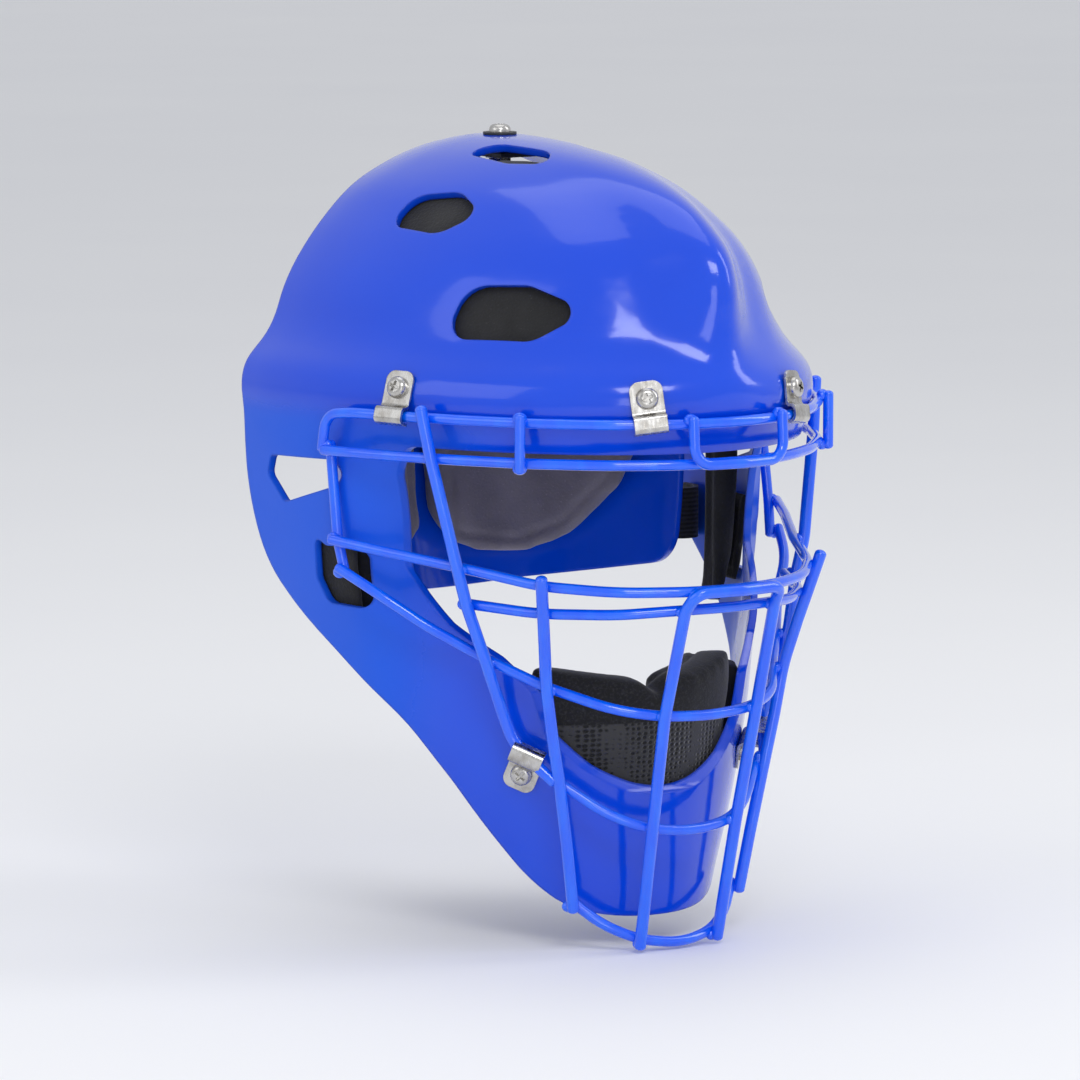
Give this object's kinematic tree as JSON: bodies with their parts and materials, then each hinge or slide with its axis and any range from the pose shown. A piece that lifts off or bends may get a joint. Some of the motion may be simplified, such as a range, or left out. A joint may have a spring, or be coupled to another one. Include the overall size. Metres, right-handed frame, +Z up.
{
  "type": "catcher's helmet",
  "caption": "Hockey-style catcher's helmet: gloss shell with wire face cage, foam liner, padded chin rest and a sliding, swinging rear plate.",
  "frame": {"origin": "middle of the head cavity, on the centre plane, level with the eyes' outer corners", "axes": "+Z up, -Y the way the wearer looks, +X to the wearer's left"},
  "size_m": [0.2124, 0.2312, 0.3034],
  "materials": {
    "shell_blue": "gloss moulded, satin side panels",
    "plate_blue": "gloss moulded",
    "cage_blue": "gloss dipped coating over steel wire",
    "clip_steel": "bright nickel plate",
    "screw_steel": "bright nickel plate",
    "black_plastic": "fine satin",
    "elastic_black": "ribbed elastic webbing",
    "foam_grey": "heathered foam-backed jersey, compressed rim",
    "foam_black": "speckled dense foam",
    "chin_fabric": "brushed jersey top, spacer mesh front"
  },
  "bodies": {
    "shell": {"bottom_wire": "cage_blue", "brow_clip_left": "clip_steel", "brow_clip_right": "clip_steel", "brow_guard_loop": "cage_blue", "brow_tie_left": "cage_blue", "brow_tie_right": "cage_blue", "brow_wire_lower": "cage_blue", "brow_wire_upper": "cage_blue", "cage_nuts": "screw_steel", "cage_screws": "screw_steel", "cheek_pad_left": "foam_black", "cheek_pad_right": "foam_black", "cheek_post_left": "cage_blue", "cheek_post_right": "cage_blue", "chin_cushion": "chin_fabric", "chin_wire": "cage_blue", "crown_grommet": "black_plastic", "crown_nut": "screw_steel", "crown_pad_left": "foam_black", "crown_pad_right": "foam_black", "crown_screw": "screw_steel", "crown_spacer": "black_plastic", "crown_washer": "screw_steel", "ear_pad_left": "foam_black", "ear_pad_right": "foam_black", "end_post_left": "cage_blue", "end_post_right": "cage_blue", "eye_wire_lower": "cage_blue", "eye_wire_upper": "cage_blue", "forehead_pad": "foam_black", "front_shell": "shell_blue", "jaw_clip_left": "clip_steel", "jaw_clip_right": "clip_steel", "jaw_pad_left": "foam_black", "jaw_pad_right": "foam_black", "mouth_wire": "cage_blue", "nose_loop": "cage_blue", "side_post_left": "cage_blue", "side_post_right": "cage_blue", "temple_clip_left": "clip_steel", "temple_clip_right": "clip_steel", "temple_pad_left": "foam_black", "temple_pad_right": "foam_black"},
    "adjuster": {"adjuster_tongue": "black_plastic", "elastic_strap_left": "elastic_black", "elastic_strap_right": "elastic_black"},
    "plate": {"rear_plate": "plate_blue", "rear_pad_left": "foam_grey", "rear_pad_right": "foam_grey"}
  },
  "joints": [
    {"name": "adjuster_slide", "type": "slide", "parent": "shell", "child": "adjuster", "axis": [0, 1, 0], "range_m": [-0.008, 0.006], "deforming": ["elastic_strap_left", "elastic_strap_right"]},
    {"name": "rear_plate_swing", "type": "hinge", "parent": "adjuster", "child": "plate", "pos_m": [0, 0.0604, 0.1443], "axis": [1, 0, 0], "range_deg": [0, 15], "stiffness_Nm_per_rad": 2}
  ]
}
